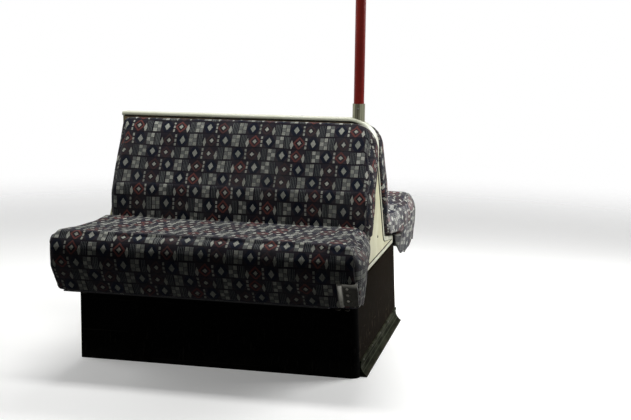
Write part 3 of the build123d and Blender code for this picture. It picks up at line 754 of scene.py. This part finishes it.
def settle(piece, side, form):
    """Sit hollows, creases, upright folds and swell at the aisle end, a fuller shoulder, the flap."""
    points, normals = points_of(piece.data), normals_of(piece.data)
    sunk = np.zeros(len(points))
    for (x, y, z), reach, depth in form["dips"]:
        away = (points - np.array([x, side * y, z])) / reach
        sunk += depth * np.exp(-np.sum(away**2, axis=1))
    x_waves, y_waves, z_waves = CREASE_SCALE
    across, down = FOLD_SCALE
    creases = [noise.noise(Vector((x * x_waves, y * y_waves + side, z * z_waves))) for x, y, z in points]
    folds = [noise.noise(Vector((7.0 * side, y * across, z * down))) for x, y, z in points]
    facing = np.clip(normals[:, 0] * FOLD_GAIN - FOLD_ONSET, 0.0, 1.0)
    rise = RIPPLE * (np.array(creases) + FOLD_SHARE * facing * np.array(folds)) - sunk
    rise += form["swell"] * np.clip(normals[:, 0], 0.0, 1.0)
    facing_up = (side * normals[:, 1] + normals[:, 2]) / math.sqrt(2)
    rise += form["shoulder"] * np.clip(facing_up, 0.0, 1.0) ** SHOULDER_TIGHT
    points = points + rise[:, None] * normals
    for (x, y, z), reach, pull in form["droops"]:
        away = (points - np.array([x, side * y, z])) / reach
        points += np.exp(-np.sum(away**2, axis=1))[:, None] * np.array(pull)
    put_points(piece.data, points)
    if form["droops"]:
        soften(piece, on_flap(points, side), FLAP_PASSES)


def seam_path(tree, centre, side, end, turns, inset):
    """Runs over the rounded edge at one end of a pad, half way between its face and its end."""
    path = []
    for turn in turns:
        out = Vector((0.0, side * math.cos(turn), math.sin(turn)))
        middle = Vector((0.0, centre[0], centre[1]))
        face = tree.ray_cast(middle + out * FACE_RAY, -out)[0]
        if face is None:
            continue
        depth = max(0.0, (face - middle).length - inset)
        outward = Vector((end, 0.0, 0.0))
        tip = tree.ray_cast(middle + out * depth + outward * END_RAY, -outward)[0]
        if tip is None:
            continue
        heart = tip - outward * inset
        slant = (out + outward).normalized()
        hit = tree.ray_cast(heart + slant * NEAR_RAY, -slant)[0]
        if hit is not None:
            path.append(hit)
    return path


def press_seam(piece, path):
    """Draws the pad in along a seam."""
    points, normals = points_of(piece.data), normals_of(piece.data)
    line = np.array([p[:] for p in path])
    best = np.full(len(points), 1.0)
    for a, b in zip(line[:-1], line[1:]):
        run = b - a
        share = np.clip(((points - a) @ run) / max(run @ run, 1e-12), 0, 1)
        best = np.minimum(best, np.linalg.norm(points - a - share[:, None] * run, axis=1))
    depth = SEAM_DEPTH * np.exp(-((best / SEAM_WIDTH) ** 2))
    put_points(piece.data, points - depth[:, None] * normals)


def sew(piece, name, body, centre, side, end, turns, inset):
    """A seam with a thin cord in it."""
    path = seam_path(surface(piece.data), centre, side, end, turns, inset)
    press_seam(piece, path)
    tree = surface(piece.data)
    line = []
    for point in path:
        place, normal = tree.find_nearest(point)[:2]
        line.append(place + normal * CORD * CORD_RISE)
    cord = tube(name, line, CORD, PIPING_CLOTH)
    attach(cord, body)


# Both kinds of pad. middle: distance of its section's middle from the centre plane, and height.
# fill: how tight it is. hidden: the normal's Y from which it lies against the backrest. snug: the
# normal's Z from which it lies beside a capping (up) or on a pan (down). dips: sit hollows as place,
# reach and depth. swell: how far the aisle end swells. droops: place, reach and pull.
# shoulder: how far its upper front edge is filled out. inset: how far its seams lie inside its end.
# turns: from where to where round the section the seams run, in degrees.
PADS = {
    "back": {
        "node": "back_cushion",
        "middle": (0.115, 0.56),
        "fill": 0.7,
        "hidden": 0.3,
        "snug": (1, 0.4),
        "dips": [((-0.22, 0.17, 0.55), 0.15, 0.004), ((0.22, 0.17, 0.55), 0.15, 0.004)],
        "swell": 0.0065,
        "droops": [],
        "shoulder": 0.0,
        "inset": 0.02,
        "turns": (104, -62),
    },
    "seat": {
        "node": "seat_cushion",
        "middle": (0.47, 0.36),
        "fill": 0.75,
        "hidden": 0.5,
        "snug": (-1, 0.5),
        "dips": [((-0.22, 0.42, 0.45), 0.15, 0.007), ((0.22, 0.42, 0.45), 0.15, 0.007)],
        "swell": 0.0,
        "droops": [
            ((0.475, 0.600, 0.270), (0.05, 0.08, 0.05), (-0.003, 0.0, 0.0)),
            ((0.466, 0.405, 0.285), (0.060, 0.06, 0.07), (-0.008, 0.0, -0.047)),
        ],
        "shoulder": 0.009,
        "inset": 0.03,
        "turns": (158, -42),
    },
}


def make_pad(kind, form):
    """Both cushions of one kind, front and rear."""
    node = f"front_{form['node']}"
    first = pad_blank(f"front_{kind}_pad", node)
    if form["droops"]:
        soften(first, on_flap(points_of(first.data), -1), FLAP_COARSE)
    normals = normals_of(first.data)
    way, least = form["snug"]
    hidden, snug = normals[:, 1] > form["hidden"], way * normals[:, 2] > least
    inflate(first, np.where(hidden, HIDDEN_CAP, np.where(snug, TOP_CAP, PAD_CAP)))
    subdivide(first)
    second = mirrored(first, f"rear_{kind}_pad")
    for piece, (side_name, side) in zip((first, second), SIDES):
        body = f"{side_name}_seat" if kind == "seat" else "base"
        centre = (side * form["middle"][0], form["middle"][1])
        settle(piece, side, form)
        lay_cloth(piece, form["middle"], side, kind == "seat")
        turns = np.linspace(*map(math.radians, form["turns"]), SEAM_STEPS)
        for end_name, end in (("aisle", 1), ("wall", -1)):
            name = f"{side_name}_{kind}_{end_name}_seam"
            sew(piece, name, body, centre, side, end, turns, form["inset"])
        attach(piece, body)
        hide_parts(f"{side_name}_{form['node']}")


# Trim and fixings


def keep(piece, body):
    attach(piece, body)


def capping_shadow_seals():
    """Dark seal cord between the capping and each back cushion's top edge, which also stands as painted
    shadow in the gap there.
    """
    low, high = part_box("capping")
    radius = CAPPING_CORNER - CAPPING_LEG
    middle_x, middle_z = high.x - CAPPING_CORNER, high.z - CAPPING_CORNER
    line = [(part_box("front_back_board")[0].x, middle_z + radius)]
    for step in range(SEAL_STEPS + 1):
        turn = math.radians(90 - 90 * step / SEAL_STEPS)
        line.append((middle_x + radius * math.cos(turn), middle_z + radius * math.sin(turn)))
    line.append((high.x - CAPPING_LEG, CAPPING_FOOT))
    for name, side in SIDES:
        y = side * (BOARD_FACE + SEAL_LIFT)
        # Painted shadow: a near-black cord fills the gap under the capping's lip, over the plywood.
        seal = tube(f"{name}_capping_shadow_seal", [(x, y, z) for x, z in line], SEAL, SEALANT)
        keep(seal, "base")


def outer_loop(node, level):
    """Points round the flat face of a node at X = level, in order."""
    bm = bmesh.new()
    bm.from_mesh(frame["nodes"][node].data)
    bmesh.ops.remove_doubles(bm, verts=bm.verts, dist=WELD)
    flat = [f for f in bm.faces if all(abs(v.co.x - level) < LEVEL for v in f.verts)]
    edges = [e for f in flat for e in f.edges if sum(g in flat for g in e.link_faces) == 1]
    ahead = {}
    for edge in edges:
        for a, b in (edge.verts, reversed(edge.verts)):
            ahead.setdefault(a.index, []).append(b.index)
    start = edges[0].verts[0].index
    loop, last = [start], None
    while len(loop) <= len(edges):
        step = [k for k in ahead[loop[-1]] if k != last][0]
        if step == start:
            break
        last = loop[-1]
        loop.append(step)
    bm.verts.ensure_lookup_table()
    points = [bm.verts[k].co.copy() for k in loop]
    bm.free()
    return points


def cheek_seal():
    """Sealant run into the joint between the cheek's panel and its edging."""
    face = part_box("aisle_cheek_rim")[1].x - PANEL_RECESS
    loop = outer_loop("aisle_cheek_panel", face)
    seal = tube("cheek_seal", loop, CHEEK_SEAL, SEALANT, closed=True)
    keep(seal, "base")


def screw_head(bm, place, out, radius):
    """A domed head with a crossed recess, its axis along out."""
    turn = out.to_track_quat("Z", "Y").to_matrix()
    rows = []
    for share, height in HEAD_RINGS:
        row = []
        for k in range(HEAD_SIDES):
            angle = 2 * math.pi * k / HEAD_SIDES
            reach = share * radius
            if share == RECESS_RING:
                reach *= RECESS[0] + RECESS[1] * math.cos(2 * angle) ** 2
            flat = Vector((reach * math.cos(angle), reach * math.sin(angle), height * radius))
            row.append(bm.verts.new(place + turn @ flat))
            if share == 0.0:
                break
        rows.append(row)
    for low, high in zip(rows, rows[1:]):
        for k in range(HEAD_SIDES):
            after = (k + 1) % HEAD_SIDES
            if len(high) == 1:
                bm.faces.new((low[k], low[after], high[0]))
            else:
                bm.faces.new((low[k], low[after], high[after], high[k]))


def screws(name, spots, radius, material, body):
    """Screw heads at (place, outward way) spots, as one piece."""
    bm = bmesh.new()
    for place, out in spots:
        screw_head(bm, Vector(place), Vector(out), radius)
    mesh = bpy.data.meshes.new(name)
    bm.to_mesh(mesh)
    bm.free()
    smooth(mesh)
    keep(new_piece(name, mesh, material), body)


def catch_spots(side_name, side):
    """Places on the catch plate's face over its three screw holes, by looking along -out."""
    tree = surface(frame["nodes"][f"{side_name}_catch_plate"].data)
    low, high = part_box(f"{side_name}_catch_plate")
    out = Vector((0.0, side * math.cos(CATCH_TILT), -math.sin(CATCH_TILT)))
    up = Vector((0.0, side * math.sin(CATCH_TILT), math.cos(CATCH_TILT)))
    middle = (low + high) / 2
    spots = []
    beside = Vector((HOLE_CLEAR, 0.0, 0.0))
    for step in (-1, 0, 1):
        hit = tree.ray_cast(middle + up * step * CATCH_PITCH + beside + out * NEAR_RAY, -out)[0]
        spots.append((hit - beside, out))
    return spots


def seat_fixings(side_name, side):
    """The catch plate's screws, and the rubber buffers under the seat pan's front edge."""
    body = f"{side_name}_seat"
    spots = catch_spots(side_name, side)
    screws(f"{side_name}_catch_screws", spots, SCREW, DARK_STEEL, body)
    low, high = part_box(f"{side_name}_seat_pan")
    reach = max(abs(low.y), abs(high.y)) - BUFFER_INSET
    spots = [((x, side * reach, low.z), (0, 0, -1)) for x in BUFFERS]
    screws(f"{side_name}_buffers", spots, BUFFER, SEALANT, body)


def base_fixings():
    """Screws in the cheek's panel, the cove's cap strip, the pole's socket and its ceiling flange."""
    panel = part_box("aisle_cheek_rim")[1].x - PANEL_RECESS
    cheek = [((panel, *CHEEK_SCREW), (1, 0, 0))]
    low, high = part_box("cove_cap")
    along = np.linspace(low.y + COVE_INSET, high.y - COVE_INSET, COVE_SCREWS)
    cove = [((high.x - COVE_SINK, y, (low.z + high.z) / 2), (1, 0, 0)) for y in along]
    low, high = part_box("pole_socket")
    x, reach = (low.x + high.x) / 2, high.y - SOCKET_SINK
    socket = [((x, side * reach, high.z - SOCKET_DROP), (0, side, 0)) for _, side in SIDES]
    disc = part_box("ceiling_flange")[1].z - FLANGE_DISC
    flange = []
    for k in range(FLANGE_SCREWS):
        angle = math.radians(90 + 360 * k / FLANGE_SCREWS)
        place = (x + FLANGE_CIRCLE * math.cos(angle), FLANGE_CIRCLE * math.sin(angle), disc)
        flange.append((place, (0, 0, -1)))
    rows = (  # name, spots, radius
        ("cheek_screw", cheek, SCREW),
        ("cove_screws", cove, COVE_SCREW),
        ("socket_screws", socket, SOCKET_SCREW),
        ("flange_screws", flange, FLANGE_SCREW),
    )
    for name, spots, radius in rows:
        screws(name, spots, radius, DARK_STEEL, "base")


# Scene


def make_camera():
    data = bpy.data.cameras.new("camera")
    data.lens = LENS_MM
    data.sensor_width = SENSOR_MM
    camera = bpy.data.objects.new("camera", data)
    bpy.context.scene.collection.objects.link(camera)
    heading = Matrix.Rotation(math.radians(CAMERA_HEADING), 4, "Z")
    pitch = Matrix.Rotation(math.radians(90 + CAMERA_PITCH), 4, "X")
    roll = Matrix.Rotation(math.radians(CAMERA_ROLL), 4, "Z")
    camera.matrix_world = Matrix.Translation(CAMERA_PLACE) @ heading @ pitch @ roll
    bpy.context.scene.camera = camera


def area_light(name, place, target, size, watts, spread):
    data = bpy.data.lights.new(name, "AREA")
    data.shape = "RECTANGLE"
    data.size, data.size_y = size
    data.energy = watts
    data.spread = math.radians(spread)
    lamp = bpy.data.objects.new(name, data)
    bpy.context.scene.collection.objects.link(lamp)
    lamp.location = place
    lamp.rotation_euler = (Vector(target) - Vector(place)).to_track_quat("-Z", "Y").to_euler()
    lamp.visible_camera = False


def seen_rays(tree):
    """1 for what the camera sees, straight, mirrored or through glass, and 0 for other rays."""
    rays = tree.nodes.new("ShaderNodeLightPath")
    seen = rays.outputs["Is Camera Ray"]
    for kind in ("Is Glossy Ray", "Is Transmission Ray"):
        either = tree.nodes.new("ShaderNodeMath")
        either.operation = "MAXIMUM"
        tree.links.new(seen, either.inputs[0])
        tree.links.new(rays.outputs[kind], either.inputs[1])
        seen = either.outputs[0]
    return seen


def make_world():
    """White where the camera, a mirror or glass sees it, plain soft light for the rest."""
    world = bpy.data.worlds.new("studio")
    bpy.context.scene.world = world
    world.use_nodes = True
    tree = world.node_tree
    shown = tree.nodes["Background"]
    shown.inputs["Color"].default_value = (1.0, 1.0, 1.0, 1.0)
    shown.inputs["Strength"].default_value = 1.0
    light = tree.nodes.new("ShaderNodeBackground")
    light.inputs["Color"].default_value = with_alpha(WORLD_TINT)
    light.inputs["Strength"].default_value = WORLD_LIGHT
    mix = tree.nodes.new("ShaderNodeMixShader")
    tree.links.new(seen_rays(tree), mix.inputs[0])
    tree.links.new(light.outputs[0], mix.inputs[1])
    tree.links.new(shown.outputs[0], mix.inputs[2])
    tree.links.new(mix.outputs[0], tree.nodes["World Output"].inputs["Surface"])


def make_floor():
    """Pale floor that keeps the unit's shadow and fades to white away from it."""
    bm = bmesh.new()
    bmesh.ops.create_grid(bm, x_segments=1, y_segments=1, size=FLOOR_HALF)
    mesh = bpy.data.meshes.new("floor")
    bm.to_mesh(mesh)
    bm.free()
    floor = bpy.data.objects.new("floor", mesh)
    bpy.context.scene.collection.objects.link(floor)
    g = Graph("floor", FLOOR_ROUGH)
    seen = seen_rays(g.tree)
    g.colour(g.mix(seen, tuple(c * FLOOR_BOUNCE for c in FLOOR_TINT), FLOOR_TINT))
    g.shader.inputs["Emission Color"].default_value = with_alpha(FLOOR_TINT)
    g.join(g.math("MULTIPLY", seen, FLOOR_GLOW), g.shader.inputs["Emission Strength"])
    clear = g.tree.nodes.new("ShaderNodeBsdfTransparent")
    mix = g.tree.nodes.new("ShaderNodeMixShader")
    away = g.add("VectorMath", g.place(), operation="LENGTH").outputs["Value"]
    g.join(g.ramp(away, *FLOOR_FADE), mix.inputs[0])
    g.tree.links.new(g.shader.outputs[0], mix.inputs[1])
    g.tree.links.new(clear.outputs[0], mix.inputs[2])
    g.tree.links.new(mix.outputs[0], g.tree.nodes["Material Output"].inputs["Surface"])
    mesh.materials.append(g.material)
    floor.location.z = -FLOOR_DROP


def main():
    scene = bpy.context.scene
    scene.view_settings.view_transform = "Standard"
    make_camera()
    make_world()
    make_floor()
    for lamp in LAMPS:
        area_light(*lamp)
    finish_nodes()
    for kind, form in PADS.items():
        make_pad(kind, form)
    capping_shadow_seals()
    cheek_seal()
    for side_name, side in SIDES:
        seat_fixings(side_name, side)
    base_fixings()


main()
